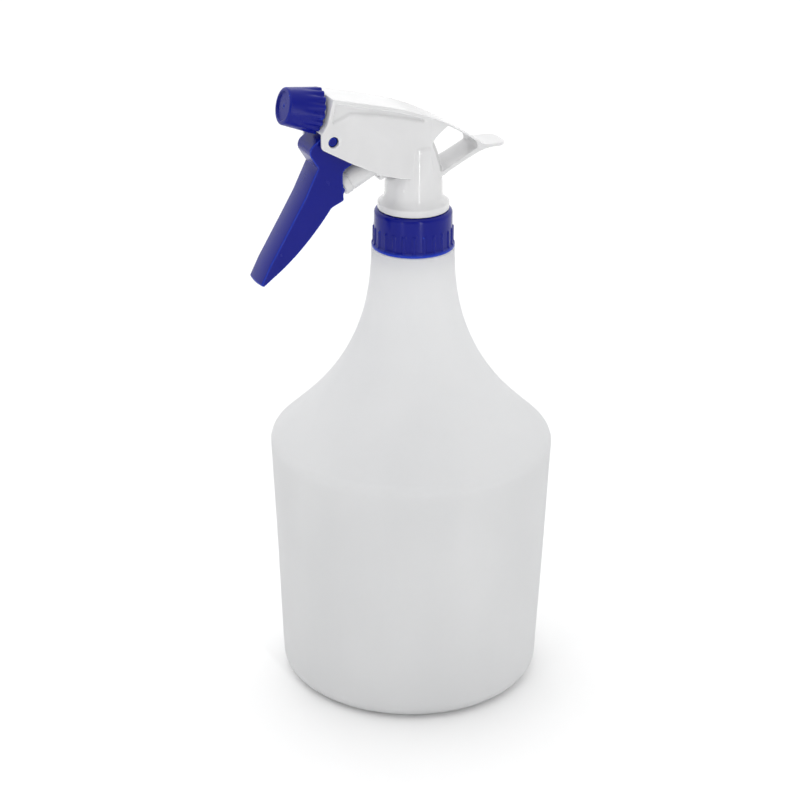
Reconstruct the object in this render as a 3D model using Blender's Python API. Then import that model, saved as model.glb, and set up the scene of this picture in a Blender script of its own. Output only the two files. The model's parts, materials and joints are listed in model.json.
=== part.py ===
"""Trigger spray bottle: one litre HDPE bottle, screw closure and piston-pump sprayer head.

Frame: +Z up, origin at the centre of the base on the surface that the bottle stands on.
The head sprays towards -X, and the whole object is symmetric about the plane y = 0.
Lengths below are millimetres; MM turns them into Blender's metres.
"""
import math

import bmesh
import bpy
from mathutils import Matrix, Vector

MM = 0.001
CLEARANCE = 0.3

# Bottle
BASE_RADIUS = 52.0
BASE_CORNER = 7.0
SHOULDER_RADIUS = 56.2
SHOULDER_HEIGHT = 103.1
SHOULDER_CORNER = 6.0
NECK_ROOT_RADIUS = 16.2
NECK_ROOT_HEIGHT = 181.7
FINISH_RADIUS = 12.75
FINISH_BORE = 10.8
FINISH_TOP = 191.8
BOTTLE_WALL = 1.0
BASE_WALL = 1.3
THREAD_PITCH = 4.23
THREAD_HEIGHT = 1.05
THREAD_TURNS = 1.0
THREAD_MIDDLE = 187.6

# Closure
CLOSURE_FOOT = 182.2
CLOSURE_TOP = 197.3
CLOSURE_RADIUS = 15.1
CLOSURE_LIP_RADIUS = 16.15
CLOSURE_BORE = 14.1
RIB_COUNT = 24

# Column, flange and head of the outer moulding
FLANGE_RADIUS = 13.83
COLUMN_RADIUS = 11.1
COLUMN_BORE = 9.9
HEAD_HALF_WIDTH = 10.0
CAVITY_HALF_WIDTH = 8.4
BAND_HALF_WIDTH = 9.2
ROOF_FRONT = (-36.9, 246.9)
ROOF_BEND_X = -16.0
ROOF_BEND_RADIUS = 113.0
ROOF_THICKNESS = 1.4
TAIL_HALF_WIDTH = 6.5
TAIL_END = 36.4
TAIL_CORNER = 4.0
TAIL_TOP = 221.0
TAIL_THICKNESS = 1.2
TAIL_ROOF_THICKNESS = 0.9

# Nozzle axis, rising towards the front, and the pump axis, falling towards the front
NOZZLE_ORIGIN = (-39.7, 240.5)
NOZZLE_RISE = math.radians(13.7)
PUMP_ORIGIN = (-19.6, 216.6)
PUMP_SLOPE = math.radians(28.0)
PUMP_OUTER = 7.7
PUMP_BORE = 6.2
PISTON_RADIUS = 4.9
PISTON_FACE = -12.4

# Trigger
PIVOT = (-36.9, 230.6)
TRIGGER_HALF_WIDTH = 6.4
TRIGGER_WALL = 1.2
TRUNNION_RADIUS = 1.75
PIVOT_HOLE_RADIUS = 1.95

ROUND = 36
FINE_ROUND = 20
SMALL_ROUND = 16


# ---------------------------------------------------------------- materials


def plastic(name, colour, roughness, metallic=0.0):
    """A Principled material with the part's colour, roughness and metallic value."""
    material = bpy.data.materials.new(name)
    material.use_nodes = True
    shader = material.node_tree.nodes["Principled BSDF"]
    shader.inputs["Base Color"].default_value = (*colour, 1.0)
    shader.inputs["Roughness"].default_value = roughness
    shader.inputs["Metallic"].default_value = metallic
    material.diffuse_color = (*colour, 1.0)
    return material


# ---------------------------------------------------------------- outlines


def corner_arc(before, corner, after, radius, steps):
    """Points of the arc that rounds one corner of an outline."""
    tip = Vector(corner)
    back = (Vector(before) - tip).normalized()
    ahead = (Vector(after) - tip).normalized()
    half = back.angle(ahead) / 2
    reach = radius / math.tan(half)
    centre = tip + (back + ahead).normalized() * radius / math.sin(half)
    start = tip + back * reach - centre
    sweep = start.angle_signed(tip + ahead * reach - centre)
    points = []
    for step in range(steps + 1):
        spin = Matrix.Rotation(-sweep * step / steps, 2)
        points.append(tuple(centre + spin @ start))
    return points


def rounded(corners, steps=4):
    """An outline from (u, v, radius) corners, with an arc wherever the radius isn't zero."""
    points = []
    for index, (u, v, radius) in enumerate(corners):
        if radius == 0:
            points.append((u, v))
            continue
        before = corners[index - 1][:2]
        after = corners[(index + 1) % len(corners)][:2]
        points += corner_arc(before, (u, v), after, radius, steps)
    return points


def bezier(start, pull_start, pull_end, end, steps):
    """Points along a cubic curve, both ends included."""
    points = []
    for step in range(steps + 1):
        t = step / steps
        weights = ((1 - t) ** 3, 3 * t * (1 - t) ** 2, 3 * t * t * (1 - t), t**3)
        handles = (start, pull_start, pull_end, end)
        points.append(
            tuple(sum(w * h[axis] for w, h in zip(weights, handles)) for axis in (0, 1))
        )
    return points


def roof_height(x):
    """Height of the roof line: straight along the nozzle axis, then one long arc down."""
    x_front, z_front = ROOF_FRONT
    fall = math.tan(NOZZLE_RISE)
    if x <= ROOF_BEND_X:
        return z_front - fall * (x - x_front)
    z_bend = z_front - fall * (ROOF_BEND_X - x_front)
    heading = math.asin(math.sin(NOZZLE_RISE) + (x - ROOF_BEND_X) / ROOF_BEND_RADIUS)
    return z_bend - ROOF_BEND_RADIUS * (math.cos(NOZZLE_RISE) - math.cos(heading))


def roof_line(x_from, x_to, steps, below=0.0):
    """Points of the roof line, or of a line a little below it."""
    points = []
    for step in range(steps + 1):
        x = x_from + (x_to - x_from) * step / steps
        points.append((x, roof_height(x) - below))
    return points


# ---------------------------------------------------------------- solids


def new_object(name, mesh_builder, material):
    """Turns a filled bmesh into an object of its own."""
    bmesh.ops.remove_doubles(mesh_builder, verts=mesh_builder.verts, dist=1e-6)
    bmesh.ops.recalc_face_normals(mesh_builder, faces=mesh_builder.faces)
    mesh = bpy.data.meshes.new(name)
    mesh_builder.to_mesh(mesh)
    mesh_builder.free()
    mesh.materials.append(material)
    obj = bpy.data.objects.new(name, mesh)
    bpy.context.scene.collection.objects.link(obj)
    return obj


def turned(name, profile, material, place=Matrix(), segments=ROUND):
    """A solid of revolution from (radius, height) points about the local Z axis.

    A profile that starts and ends on the axis stays open there; any other is a ring.
    """
    shape = bmesh.new()
    points = [shape.verts.new((r * MM, 0, h * MM)) for r, h in profile]
    edges = [shape.edges.new(pair) for pair in zip(points, points[1:])]
    if profile[0][0] > 0:
        edges.append(shape.edges.new((points[-1], points[0])))
    bmesh.ops.spin(
        shape,
        geom=points + edges,
        cent=(0, 0, 0),
        axis=(0, 0, 1),
        angle=math.tau,
        steps=segments,
        use_merge=True,
    )
    obj = new_object(name, shape, material)
    obj.matrix_world = place
    return obj


def prism(name, outline, y_low, y_high, material):
    """An (x, z) outline carried from y_low to y_high."""
    shape = bmesh.new()
    face = shape.faces.new([shape.verts.new((x * MM, y_low * MM, z * MM)) for x, z in outline])
    swept = bmesh.ops.extrude_face_region(shape, geom=[face])
    moved = [item for item in swept["geom"] if isinstance(item, bmesh.types.BMVert)]
    bmesh.ops.translate(shape, verts=moved, vec=(0, (y_high - y_low) * MM, 0))
    return new_object(name, shape, material)


def plan_prism(name, outline, z_low, z_high, material):
    """An (x, y) outline carried from z_low to z_high."""
    shape = bmesh.new()
    face = shape.faces.new([shape.verts.new((x * MM, y * MM, z_low * MM)) for x, y in outline])
    swept = bmesh.ops.extrude_face_region(shape, geom=[face])
    moved = [item for item in swept["geom"] if isinstance(item, bmesh.types.BMVert)]
    bmesh.ops.translate(shape, verts=moved, vec=(0, 0, (z_high - z_low) * MM))
    return new_object(name, shape, material)


def combine(target, tool, operation):
    """Joins, cuts or intersects target with tool, and removes tool."""
    modifier = target.modifiers.new(operation.lower(), "BOOLEAN")
    modifier.operation = operation
    modifier.solver = "EXACT"
    modifier.object = tool
    bpy.context.view_layer.update()
    graph = bpy.context.evaluated_depsgraph_get()
    result = bpy.data.meshes.new_from_object(target.evaluated_get(graph))
    target.modifiers.clear()
    target.data = result
    bpy.data.objects.remove(tool)


def add(target, tool):
    combine(target, tool, "UNION")


def cut(target, tool):
    combine(target, tool, "DIFFERENCE")


def merged(name, pieces):
    """Several loose solids as one tool object."""
    shape = bmesh.new()
    for piece in pieces:
        copy = piece.data.copy()
        copy.transform(piece.matrix_world)
        shape.from_mesh(copy)
        bpy.data.meshes.remove(copy)
    material = pieces[0].data.materials[0]
    for piece in pieces:
        bpy.data.objects.remove(piece)
    return new_object(name, shape, material)


def finish(obj, origin=None):
    """Sets the origin and shades the round surfaces smooth."""
    if origin is not None:
        shift = Matrix.Translation(-Vector(origin) * MM)
        obj.data.transform(shift)
        obj.location = Vector(origin) * MM
    obj.data.shade_smooth()
    obj.data.set_sharp_from_angle(angle=math.radians(32))
    return obj


def axis_frame(origin, lean):
    """Frame at (x, z) in the middle plane whose Z axis leans by this angle towards +X."""
    place = Matrix.Translation(Vector((origin[0], 0, origin[1])) * MM)
    return place @ Matrix.Rotation(lean, 4, "Y")


NOZZLE_FRAME = axis_frame(NOZZLE_ORIGIN, NOZZLE_RISE - math.pi / 2)
PUMP_FRAME = axis_frame(PUMP_ORIGIN, math.pi / 2 - PUMP_SLOPE)


def across(x, z):
    """Frame at (x, z) whose Z axis points along +Y."""
    return Matrix.Translation(Vector((x, 0, z)) * MM) @ Matrix.Rotation(-math.pi / 2, 4, "X")


def helix_ridge(name, root, crest, middle, material):
    """A trapezoid thread ridge that climbs about Z from root radius to crest radius."""
    root_half = 1.0
    crest_half = 0.4
    steps_per_turn = 32
    steps = round(THREAD_TURNS * steps_per_turn)
    start = middle - THREAD_PITCH * THREAD_TURNS / 2
    section = (
        (root, start - root_half),
        (crest, start - crest_half),
        (crest, start + crest_half),
        (root, start + root_half),
    )
    shape = bmesh.new()
    face = shape.faces.new([shape.verts.new((r * MM, 0, h * MM)) for r, h in section])
    bmesh.ops.spin(
        shape,
        geom=[face],
        cent=(0, 0, 0),
        axis=(0, 0, 1),
        dvec=(0, 0, THREAD_PITCH * THREAD_TURNS / steps * MM),
        angle=math.tau * THREAD_TURNS,
        steps=steps,
    )
    return new_object(name, shape, material)


def coil(name, radius, wire, start, end, turns, material, place):
    """A compression spring about the local Z axis, its end turns closed."""
    per_turn = 10
    closed = 1.0
    steps = round(turns * per_turn)
    curve = bpy.data.curves.new(name, "CURVE")
    curve.dimensions = "3D"
    curve.bevel_depth = wire / 2 * MM
    curve.bevel_resolution = 1
    curve.use_fill_caps = True
    spline = curve.splines.new("POLY")
    spline.points.add(steps)
    rise = (end - start - 2 * wire * closed) / (turns - 2 * closed)
    for step in range(steps + 1):
        turn = step / per_turn
        height = start + wire * min(turn, closed)
        height += rise * min(max(turn - closed, 0), turns - 2 * closed)
        height += wire * max(turn - turns + closed, 0)
        angle = math.tau * turn
        spot = (radius * math.cos(angle), radius * math.sin(angle), height)
        spline.points[step].co = (*(Vector(spot) * MM), 1)
    curve.materials.append(material)
    obj = bpy.data.objects.new(name, curve)
    bpy.context.scene.collection.objects.link(obj)
    obj.matrix_world = place
    return obj


# ---------------------------------------------------------------- bottle and closure


def make_bottle(natural):
    """Blow-moulded bottle: stepped base, tapered wall, round shoulder, long neck, thread."""
    wall_top = (SHOULDER_RADIUS, SHOULDER_HEIGHT)
    neck_start = (52.15, 106.6)
    neck_end = (NECK_ROOT_RADIUS, NECK_ROOT_HEIGHT)
    corner = corner_arc((0, 0), (BASE_RADIUS - 0.4, 0), wall_top, BASE_CORNER, 5)
    shoulder = corner_arc((BASE_RADIUS, 9), wall_top, neck_start, SHOULDER_CORNER, 4)
    neck = bezier(neck_start, (40.6, 117.6), (15.1, 138.3), neck_end, 9)
    outer = corner + shoulder + neck
    outer += [(15.4, 182.0), (FINISH_RADIUS, 182.0)]
    outer += [(FINISH_RADIUS, FINISH_TOP - 0.6), (FINISH_RADIUS - 0.5, FINISH_TOP)]

    inner_corner = corner_arc(
        (0, BASE_WALL), (BASE_RADIUS - 0.4 - BOTTLE_WALL, BASE_WALL), wall_top, BASE_CORNER - 1, 4
    )
    inner_neck = bezier(
        (51.0, 106.0),
        (39.9, 116.6),
        (14.1, 138.3),
        (NECK_ROOT_RADIUS - BOTTLE_WALL, NECK_ROOT_HEIGHT - 4),
        6,
    )
    inner_shoulder = [(SHOULDER_RADIUS - 1.25, 98.5), (SHOULDER_RADIUS - 1.6, 101.8)]
    inner = inner_corner + inner_shoulder + inner_neck
    inner += [(13.0, 180.2), (FINISH_BORE, 182.6), (FINISH_BORE, FINISH_TOP)]

    pad = [(0, BASE_WALL + 0.6), (0, 0), (13.0, 0), (14.0, 0.7), (40.0, 0.7), (41.5, 0)]
    step = [(41.0, BASE_WALL + 0.3), (38.5, BASE_WALL + 0.6)]
    profile = pad[1:] + outer + inner[::-1] + step + pad[:1]
    bottle = turned("bottle", profile, natural, segments=32)
    ridge = helix_ridge(
        "neck_thread", FINISH_RADIUS - 0.4, FINISH_RADIUS + THREAD_HEIGHT, THREAD_MIDDLE, natural
    )
    add(bottle, ridge)
    return finish(bottle)


def make_closure(blue):
    """Screw closure: flared lip, ribbed skirt, round shoulder, top opening, inside thread."""
    profile = [
        (CLOSURE_LIP_RADIUS - 0.3, CLOSURE_FOOT),
        (CLOSURE_LIP_RADIUS, CLOSURE_FOOT + 0.4),
        (CLOSURE_LIP_RADIUS, CLOSURE_FOOT + 1.1),
        (CLOSURE_RADIUS + 0.1, CLOSURE_FOOT + 2.0),
        (CLOSURE_RADIUS, CLOSURE_TOP - 2.2),
    ]
    shoulder = corner_arc(
        (CLOSURE_RADIUS, 190), (CLOSURE_RADIUS, CLOSURE_TOP), (0, CLOSURE_TOP), 1.3, 3
    )
    profile += shoulder
    profile += [
        (11.6, CLOSURE_TOP),
        (11.6, CLOSURE_TOP - 1.5),
        (CLOSURE_BORE, CLOSURE_TOP - 1.5),
        (CLOSURE_BORE, CLOSURE_FOOT),
    ]
    closure = turned("closure", profile, blue)
    rib = rounded([(-0.55, 183.0, 0), (0.55, 183.0, 0), (0.55, 190.6, 0.4), (-0.55, 190.6, 0.4)], 2)
    ribs = []
    for index in range(RIB_COUNT):
        one = prism("rib", rib, -CLOSURE_RADIUS - 0.5, -CLOSURE_RADIUS + 0.5, blue)
        one.matrix_world = Matrix.Rotation(math.tau * (index + 0.5) / RIB_COUNT, 4, "Z")
        ribs.append(one)
    bpy.context.view_layer.update()
    add(closure, merged("closure_ribs", ribs))
    ridge = helix_ridge(
        "closure_thread",
        CLOSURE_BORE + 0.4,
        CLOSURE_BORE - THREAD_HEIGHT + 0.1,
        THREAD_MIDDLE - THREAD_PITCH / 2 + 0.15,
        blue,
    )
    add(closure, ridge)
    return finish(closure)


def make_neck_gasket(foam):
    profile = [(10.5, 192.1), (13.4, 192.1), (13.4, 193.2), (10.5, 193.2)]
    return finish(turned("neck_gasket", profile, foam, segments=FINE_ROUND))


# ---------------------------------------------------------------- outer moulding


def make_sprayer_body(white):
    """Outer moulding: flange, column, cheeks, roof and thumb tail, all of one wall."""
    outline = roof_line(ROOF_FRONT[0], 26.0, 14)
    tail_under = TAIL_TOP - TAIL_THICKNESS
    outline += [(27.4, TAIL_TOP + 0.1), (28.4, TAIL_TOP)]
    outline += [(TAIL_END + 1, TAIL_TOP), (TAIL_END + 1, tail_under)]
    outline += bezier((31.0, tail_under), (28.0, tail_under), (25.0, 218.9), (22.5, 217.7), 5)
    outline += [(10.6, 211.9), (9.2, 210.2), (-9.0, 210.2), (-9.3, 212.7), (-16.5, 214.9)]
    outline += [(-29.3, 221.2)]
    front = rounded([(-29.3, 221.2, 0), (-41.6, 228.2, 2.0), (-41.4, 234.2, 0.8)], 4)
    outline += front[1:]
    outline += [(-39.3, 237.4)]
    body = prism("sprayer_body", outline, -HEAD_HALF_WIDTH, HEAD_HALF_WIDTH, white)

    window = roof_line(10.8, 23.4, 6, TAIL_ROOF_THICKNESS)
    window += [(23.8, 220.2), (8.0, 212.4), (5.2, 220.8), (3.3, 224.4), (3.6, 226.4)]
    cut(body, prism("window", window, -15, 15, white))

    ridge = roof_line(-36.6, 3.0, 8, 1.7)
    band = [(-37.3, 237.9)] + [(ridge[0][0] + 0.9, ridge[0][1])] + ridge[1:]
    band += [(0.5, 234.3), (-18.4, 238.9), (-30.4, 240.9)]
    for side in (-1, 1):
        low, high = sorted((side * BAND_HALF_WIDTH, side * (HEAD_HALF_WIDTH + 3)))
        cut(body, prism("band", band, low, high, white))

    side = [(-45.0, HEAD_HALF_WIDTH + 1), (2.0, HEAD_HALF_WIDTH + 1), (3.5, HEAD_HALF_WIDTH - 0.4)]
    side += [(9.0, TAIL_HALF_WIDTH + 1.2), (15.0, TAIL_HALF_WIDTH + 0.2)]
    end_corner = (TAIL_END, TAIL_HALF_WIDTH)
    side += corner_arc(side[-1], end_corner, (TAIL_END, -TAIL_HALF_WIDTH), TAIL_CORNER, 6)
    mirrored = [(x, -y) for x, y in reversed(side)]
    plan = plan_prism("plan", side + mirrored, 200, 260, white)
    combine(body, plan, "INTERSECT")

    column = [(0, 195.8), (COLUMN_RADIUS, 195.8), (COLUMN_RADIUS, 197.6), (FLANGE_RADIUS, 197.6)]
    column += [(FLANGE_RADIUS, 200.0), (12.9, 201.0), (11.6, 202.6), (COLUMN_RADIUS, 204.4)]
    column += [(COLUMN_RADIUS, 208.0), (10.8, 211.5), (10.2, 214.5), (9.6, 217.5), (8.7, 220.6)]
    column += [(7.4, 223.6), (6.2, 225.6), (5.2, 227.6), (5.0, 234.0), (0, 234.0)]
    add(body, turned("column", column, white))

    ceiling = roof_line(-35.3, 1.2, 8, ROOF_THICKNESS)
    cavity = ceiling + [(1.5, 213.0), (-9.0, 212.4), (-12.6, 208.0), (-48.0, 208.0)]
    cavity += [(-48.0, 233.4), (-38.4, 233.4)]
    cut(body, prism("cavity", cavity, -CAVITY_HALF_WIDTH, CAVITY_HALF_WIDTH, white))

    bore = [(0, 190.0), (COLUMN_BORE, 190.0), (COLUMN_BORE, 204.5), (9.3, 211.0), (8.7, 215.0)]
    bore += [(7.5, 219.5), (6.2, 223.0), (4.9, 225.4), (4.0, 227.4), (4.0, 232.2), (0, 232.2)]
    cut(body, turned("bore", bore, white, segments=28))

    hole = [(0, -5.0), (5.7, -5.0), (5.7, 3.0), (0, 3.0)]
    cut(body, turned("front_hole", hole, white, NOZZLE_FRAME, FINE_ROUND))
    pin_hole = [(0, -14.0), (PIVOT_HOLE_RADIUS, -14.0), (PIVOT_HOLE_RADIUS, 14.0), (0, 14.0)]
    cut(body, turned("pin_hole", pin_hole, white, across(*PIVOT), FINE_ROUND))
    return finish(body)


# ---------------------------------------------------------------- pump


def make_pump_cylinder(white):
    """Insert in one moulding: pump cylinder, suction duct and discharge barrel."""
    shell = [(0, 1.47), (PUMP_OUTER, 1.47), (PUMP_OUTER, 14.6), (PUMP_OUTER - 0.6, 15.2), (0, 15.2)]
    pump = turned("pump_cylinder", shell, white, PUMP_FRAME, 28)
    duct = [(0, 197.2), (6.0, 197.2), (6.0, 202.6), (3.5, 204.6), (3.5, 229.0), (0, 229.0)]
    add(pump, turned("duct", duct, white, segments=FINE_ROUND))
    barrel = [(0, -41.3), (3.4, -41.3), (3.4, -12.0), (5.2, -10.6), (5.2, -1.6), (0, -1.6)]
    add(pump, turned("barrel", barrel, white, NOZZLE_FRAME, FINE_ROUND))

    cylinder_bore = [(0, -2.0), (PUMP_BORE, -2.0), (PUMP_BORE, 13.7), (0, 13.7)]
    cut(pump, turned("cylinder_bore", cylinder_bore, white, PUMP_FRAME, 28))
    port = [(0, 12.0), (1.3, 12.0), (1.3, 22.6), (0, 22.6)]
    cut(pump, turned("port", port, white, PUMP_FRAME, 12))
    duct_bore = [(0, 190.0), (4.7, 190.0), (4.7, 202.3), (1.8, 202.3), (1.8, 230.6), (0, 230.6)]
    cut(pump, turned("duct_bore", duct_bore, white, segments=SMALL_ROUND))
    barrel_bore = [(0, -40.9), (1.9, -40.9), (1.9, -10.0), (4.2, -10.0), (4.2, 2.0), (0, 2.0)]
    cut(pump, turned("barrel_bore", barrel_bore, white, NOZZLE_FRAME, SMALL_ROUND))
    return finish(pump)


def make_piston(white):
    """Hollow plunger with two ring grooves, open at the back for the spring."""
    front = PISTON_FACE
    profile = [(0, front), (4.3, front), (PISTON_RADIUS, front + 0.6), (PISTON_RADIUS, -9.5)]
    profile += [(4.6, -9.2), (4.6, -8.8), (PISTON_RADIUS - 0.1, -8.5), (PISTON_RADIUS - 0.1, 1.2)]
    for land in (1.7, 3.5, 5.3):
        profile += [(5.85, land), (5.85, land + 0.6)]
        if land < 5:
            profile += [(4.5, land + 0.6), (4.5, land + 1.8)]
    profile += [(3.6, 5.9), (3.6, -9.6), (0, -9.6)]
    return finish(turned("piston", profile, white, PUMP_FRAME, FINE_ROUND))


def make_piston_ring(name, start, rubber):
    profile = [(4.8, start), (5.95, start), (5.95, start + 0.6), (4.8, start + 0.6)]
    return finish(turned(name, profile, rubber, PUMP_FRAME, FINE_ROUND))


def make_tube_retainer(white):
    """Insert under the column: holds the closure, seals the neck and carries tube and ball."""
    profile = [(4.4, 202.0), (2.9, 202.0), (2.9, 196.3), (1.6, 195.0), (1.6, 193.2), (3.3, 193.0)]
    profile += [(3.3, 184.0), (4.4, 184.0), (4.4, 192.0), (9.2, 192.0), (9.2, 186.5)]
    profile += [(9.9, 186.5), (10.4, 187.5), (10.4, 193.5), (13.2, 193.5), (13.2, 195.5)]
    profile += [(9.6, 195.5), (9.6, 203.0), (8.4, 203.0), (8.4, 196.2), (4.4, 195.6)]
    return finish(turned("tube_retainer", profile, white, segments=FINE_ROUND))


def make_dip_tube(clear):
    profile = [(2.1, 5.0), (3.0, 5.0), (3.0, 192.6), (2.1, 192.6)]
    return finish(turned("dip_tube", profile, clear, segments=SMALL_ROUND))


def make_inlet_ball(steel):
    radius = 2.3
    centre = 197.1
    steps = 8
    profile = []
    for step in range(steps + 1):
        angle = math.pi * (step / steps - 0.5)
        reach = 0 if step in (0, steps) else radius * math.cos(angle)
        profile.append((reach, radius * math.sin(angle)))
    place = Matrix.Translation((0, 0, centre * MM))
    return finish(turned("inlet_ball", profile, steel, place, 16))


# ---------------------------------------------------------------- nozzle


def make_nozzle_base(white):
    """Spigot plugged into the discharge barrel; the valve sits in its bore."""
    profile = [(1.0, -9.0), (3.5, -9.0), (3.9, -8.4), (3.9, -0.9), (6.6, -0.9), (6.6, -0.35)]
    profile += [(5.0, -0.35), (5.0, 7.5), (3.2, 7.5), (3.2, 4.2), (2.4, 4.2), (2.4, -7.2)]
    profile += [(1.0, -7.2)]
    return finish(turned("nozzle_base", profile, white, NOZZLE_FRAME, FINE_ROUND))


def make_nozzle_seal(rubber):
    profile = [(3.7, 7.8), (4.9, 7.8), (4.9, 8.3), (3.7, 8.3)]
    return finish(turned("nozzle_seal", profile, rubber, NOZZLE_FRAME, SMALL_ROUND))


def make_spinner(white):
    """Swirl plug with three slots down its side."""
    profile = [(0, 4.5), (2.9, 4.5), (2.9, 11.2), (2.3, 11.8), (0, 11.8)]
    spinner = turned("spinner", profile, white, NOZZLE_FRAME, SMALL_ROUND)
    slots = []
    for index in range(3):
        slot = prism("slot", [(2.2, 4.0), (3.6, 4.0), (3.6, 12.4), (2.2, 12.4)], -0.45, 0.45, white)
        slot.matrix_world = NOZZLE_FRAME @ Matrix.Rotation(math.tau * index / 3, 4, "Z")
        slots.append(slot)
    bpy.context.view_layer.update()
    cut(spinner, merged("slots", slots))
    return finish(spinner)


def make_outlet_valve(white):
    profile = [(0, -6.9), (1.9, -6.9), (1.9, -5.9), (0.8, -5.6), (0.8, -3.5), (0, -3.2)]
    return finish(turned("outlet_valve", profile, white, NOZZLE_FRAME, 16))


def make_nozzle_cap(blue):
    """Twist cap: smooth cone in front, flutes that deepen towards the back rim."""
    profile = [(0.4, 13.2), (5.4, 13.2), (5.7, 13.7), (6.2, 13.8), (6.75, 13.3), (6.95, 12.4)]
    profile += [(8.85, 0.3), (8.55, 0.0), (5.4, 0.0), (5.4, 8.6), (3.5, 8.6), (3.5, 12.2)]
    profile += [(0.4, 12.2)]
    cap = turned("nozzle_cap", profile, blue, NOZZLE_FRAME)
    flutes = []
    for index in range(16):
        flute = turned("flute", [(0, -2), (1.5, -2), (0.9, 8.6), (0, 8.9)], blue, segments=10)
        lean = Matrix.Translation((9.55 * MM, 0, 0)) @ Matrix.Rotation(math.radians(-2), 4, "Y")
        flute.matrix_world = NOZZLE_FRAME @ Matrix.Rotation(math.tau * index / 16, 4, "Z") @ lean
        flutes.append(flute)
    bpy.context.view_layer.update()
    cut(cap, merged("flutes", flutes))
    return finish(cap)


# ---------------------------------------------------------------- trigger


def make_trigger(blue):
    """U-section lever: finger face in front, two side walls, cross rib and trunnions."""
    front = [(-41.6, 220.0), (-46.9, 209.0), (-52.4, 199.4), (-61.4, 184.0), (-64.9, 176.9)]
    rear = [(-63.9, 176.3), (-59.9, 179.4), (-51.8, 186.2), (-43.6, 194.9), (-36.2, 204.0)]
    rear += [(-31.4, 206.4), (-31.9, 217.0), (-31.3, 218.4), (-27.6, 220.1)]
    top = [(-28.6, 224.5), (-33.6, 230.4), (-34.4, 232.8), (-36.9, 233.9), (-40.0, 231.4)]
    knuckle = corner_arc((-40.0, 231.4), (-45.9, 227.6), (-42.6, 220.4), 3.6, 6)
    outline = front + rear + top + knuckle
    half = TRIGGER_HALF_WIDTH
    lever = prism("trigger", outline, -half, half, blue)

    web = 1.4
    inner_front = [(x + web, z) for x, z in front[:-1]]
    channel = [(-40.6, 221.4)] + inner_front[1:] + [(-61.6, 176.0), (-30.0, 176.0)]
    channel += [(-24.0, 200.0), (-24.0, 226.0), (-30.4, 221.4)]
    inside = half - TRIGGER_WALL
    cut(lever, prism("channel", channel, -inside, inside, blue))

    rib_at = PUMP_FRAME @ Vector((0, 0, (PISTON_FACE - CLEARANCE - 1.4) * MM))
    rib = [(0, -half + 0.5), (1.4, -half + 0.5), (1.4, half - 0.5), (0, half - 0.5)]
    add(lever, turned("rib", rib, blue, across(rib_at.x / MM, rib_at.z / MM), 16))
    boss = half + 1.6
    reach = HEAD_HALF_WIDTH - 0.7
    trunnion = [(0, -reach), (TRUNNION_RADIUS, -reach), (TRUNNION_RADIUS, -boss), (3.0, -boss)]
    trunnion += [(3.0, boss), (TRUNNION_RADIUS, boss), (TRUNNION_RADIUS, reach), (0, reach)]
    add(lever, turned("trunnion", trunnion, blue, across(*PIVOT), SMALL_ROUND))
    return finish(lever, (PIVOT[0], 0, PIVOT[1]))


# ---------------------------------------------------------------- assembly

for old in list(bpy.data.objects):
    bpy.data.objects.remove(old)

NATURAL = plastic("natural_hdpe", (0.80, 0.82, 0.84), 0.42)
BLUE = plastic("blue_polypropylene", (0.018, 0.022, 0.26), 0.32)
WHITE = plastic("white_polypropylene", (0.80, 0.80, 0.80), 0.28)
FOAM = plastic("white_foam", (0.75, 0.75, 0.73), 0.85)
CLEAR = plastic("tube_polyethylene", (0.78, 0.80, 0.82), 0.35)
RUBBER = plastic("seal_elastomer", (0.55, 0.55, 0.55), 0.6)
STEEL = plastic("stainless_steel", (0.62, 0.62, 0.62), 0.25, 1.0)

make_bottle(NATURAL)
make_closure(BLUE)
make_neck_gasket(FOAM)
make_sprayer_body(WHITE)
make_pump_cylinder(WHITE)
make_tube_retainer(WHITE)
make_dip_tube(CLEAR)
make_inlet_ball(STEEL)
make_piston(WHITE)
make_piston_ring("vent_seal", 2.6, RUBBER)
make_piston_ring("piston_seal", 4.4, RUBBER)
coil("return_spring", 2.9, 0.8, -9.0, 13.2, 8, STEEL, PUMP_FRAME)
make_nozzle_base(WHITE)
make_nozzle_seal(RUBBER)
make_spinner(WHITE)
make_outlet_valve(WHITE)
coil("outlet_spring", 1.6, 0.4, -5.3, 3.9, 5, STEEL, NOZZLE_FRAME)
make_nozzle_cap(BLUE)
make_trigger(BLUE)
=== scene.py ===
"""Trigger spray bottle as it looks: milky bottle, white sprayer head, blue closure, trigger and cap."""

import json
import math

import bmesh
import bpy
import numpy as np
from mathutils import Matrix, Quaternion, Vector


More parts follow.
